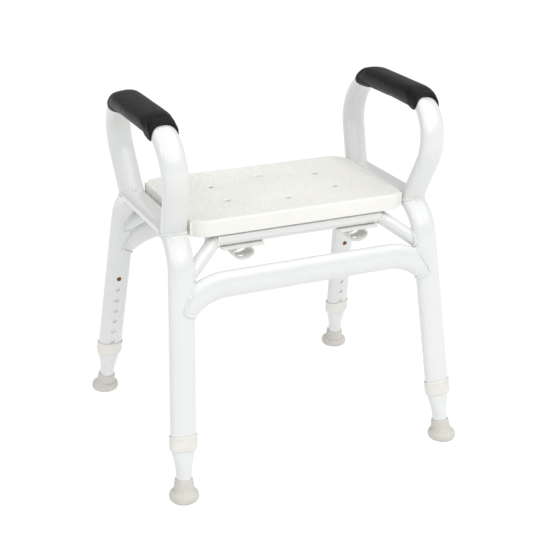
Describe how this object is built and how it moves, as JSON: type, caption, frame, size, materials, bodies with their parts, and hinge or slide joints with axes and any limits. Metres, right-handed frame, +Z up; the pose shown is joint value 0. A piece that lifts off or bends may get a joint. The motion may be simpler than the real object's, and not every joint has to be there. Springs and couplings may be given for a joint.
{
  "type": "shower chair",
  "caption": "Backless shower chair with padded armrest loops, a textured drained seat and telescopic push-button legs on rubber feet.",
  "frame": {"origin": "on the floor, midway between the four feet", "axes": "+Z up, -Y towards the front of the chair, +X towards the right-hand armrest as seen from the front"},
  "size_m": [0.592, 0.501, 0.6659],
  "materials": {
    "powder_coat": "gloss white powder coat on bent oval and round tube",
    "seat_plastic": "warm white moulded plastic with a fine pebbled top",
    "clip_plastic": "off-white moulded plastic",
    "collar_plastic": "cream moulded plastic ferrules",
    "foot_rubber": "beige moulded rubber",
    "pad_vinyl": "black soft vinyl over foam, satin",
    "button_brass": "brass-coloured spring button",
    "spring_steel": "spring steel strip",
    "zinc_steel": "zinc-plated screws"
  },
  "bodies": {
    "frame": {"side_frame_left": "powder_coat", "side_frame_right": "powder_coat", "front_rail": "powder_coat", "rear_rail": "powder_coat", "seat_hoop_left": "powder_coat", "seat_hoop_right": "powder_coat", "seat_cross_tube_front": "powder_coat", "seat_cross_tube_rear": "powder_coat", "armrest_loop_left": "powder_coat", "armrest_loop_right": "powder_coat", "armrest_pad_left": "pad_vinyl", "armrest_pad_right": "pad_vinyl", "seat": "seat_plastic", "seat_clip_front_left": "clip_plastic", "seat_clip_front_right": "clip_plastic", "seat_clip_rear_left": "clip_plastic", "seat_clip_rear_right": "clip_plastic", "seat_screw_front_left": "zinc_steel", "seat_screw_front_right": "zinc_steel", "seat_screw_rear_left": "zinc_steel", "seat_screw_rear_right": "zinc_steel", "leg_collar_front_left": "collar_plastic", "leg_collar_front_right": "collar_plastic", "leg_collar_rear_left": "collar_plastic", "leg_collar_rear_right": "collar_plastic"},
    "leg_front_left": {"leg_extension_front_left": "powder_coat", "button_spring_front_left": "spring_steel", "rubber_foot_front_left": "foot_rubber"},
    "button_front_left": {"push_button_front_left": "button_brass"},
    "leg_front_right": {"leg_extension_front_right": "powder_coat", "button_spring_front_right": "spring_steel", "rubber_foot_front_right": "foot_rubber"},
    "button_front_right": {"push_button_front_right": "button_brass"},
    "leg_rear_left": {"leg_extension_rear_left": "powder_coat", "button_spring_rear_left": "spring_steel", "rubber_foot_rear_left": "foot_rubber"},
    "button_rear_left": {"push_button_rear_left": "button_brass"},
    "leg_rear_right": {"leg_extension_rear_right": "powder_coat", "button_spring_rear_right": "spring_steel", "rubber_foot_rear_right": "foot_rubber"},
    "button_rear_right": {"push_button_rear_right": "button_brass"}
  },
  "joints": [
    {"name": "leg_slide_front_left", "type": "slide", "parent": "frame", "child": "leg_front_left", "axis": [-0.0652, -0.1788, -0.9817], "range_m": [0, 0.15]},
    {"name": "leg_slide_front_right", "type": "slide", "parent": "frame", "child": "leg_front_right", "axis": [0.0652, -0.1788, -0.9817], "range_m": [0, 0.15]},
    {"name": "leg_slide_rear_left", "type": "slide", "parent": "frame", "child": "leg_rear_left", "axis": [-0.0652, 0.1788, -0.9817], "range_m": [0, 0.15]},
    {"name": "leg_slide_rear_right", "type": "slide", "parent": "frame", "child": "leg_rear_right", "axis": [0.0652, 0.1788, -0.9817], "range_m": [0, 0.15]},
    {"name": "button_press_front_left", "type": "slide", "parent": "leg_front_left", "child": "button_front_left", "axis": [0.0119, -0.9839, 0.1784], "range_m": [0, 0.005], "stiffness_N_per_m": 1500, "springref_m": -0.002},
    {"name": "button_press_front_right", "type": "slide", "parent": "leg_front_right", "child": "button_front_right", "axis": [-0.0119, -0.9839, 0.1784], "range_m": [0, 0.005], "stiffness_N_per_m": 1500, "springref_m": -0.002},
    {"name": "button_press_rear_left", "type": "slide", "parent": "leg_rear_left", "child": "button_rear_left", "axis": [0.0119, 0.9839, 0.1784], "range_m": [0, 0.005], "stiffness_N_per_m": 1500, "springref_m": -0.002},
    {"name": "button_press_rear_right", "type": "slide", "parent": "leg_rear_right", "child": "button_rear_right", "axis": [-0.0119, 0.9839, 0.1784], "range_m": [0, 0.005], "stiffness_N_per_m": 1500, "springref_m": -0.002}
  ]
}
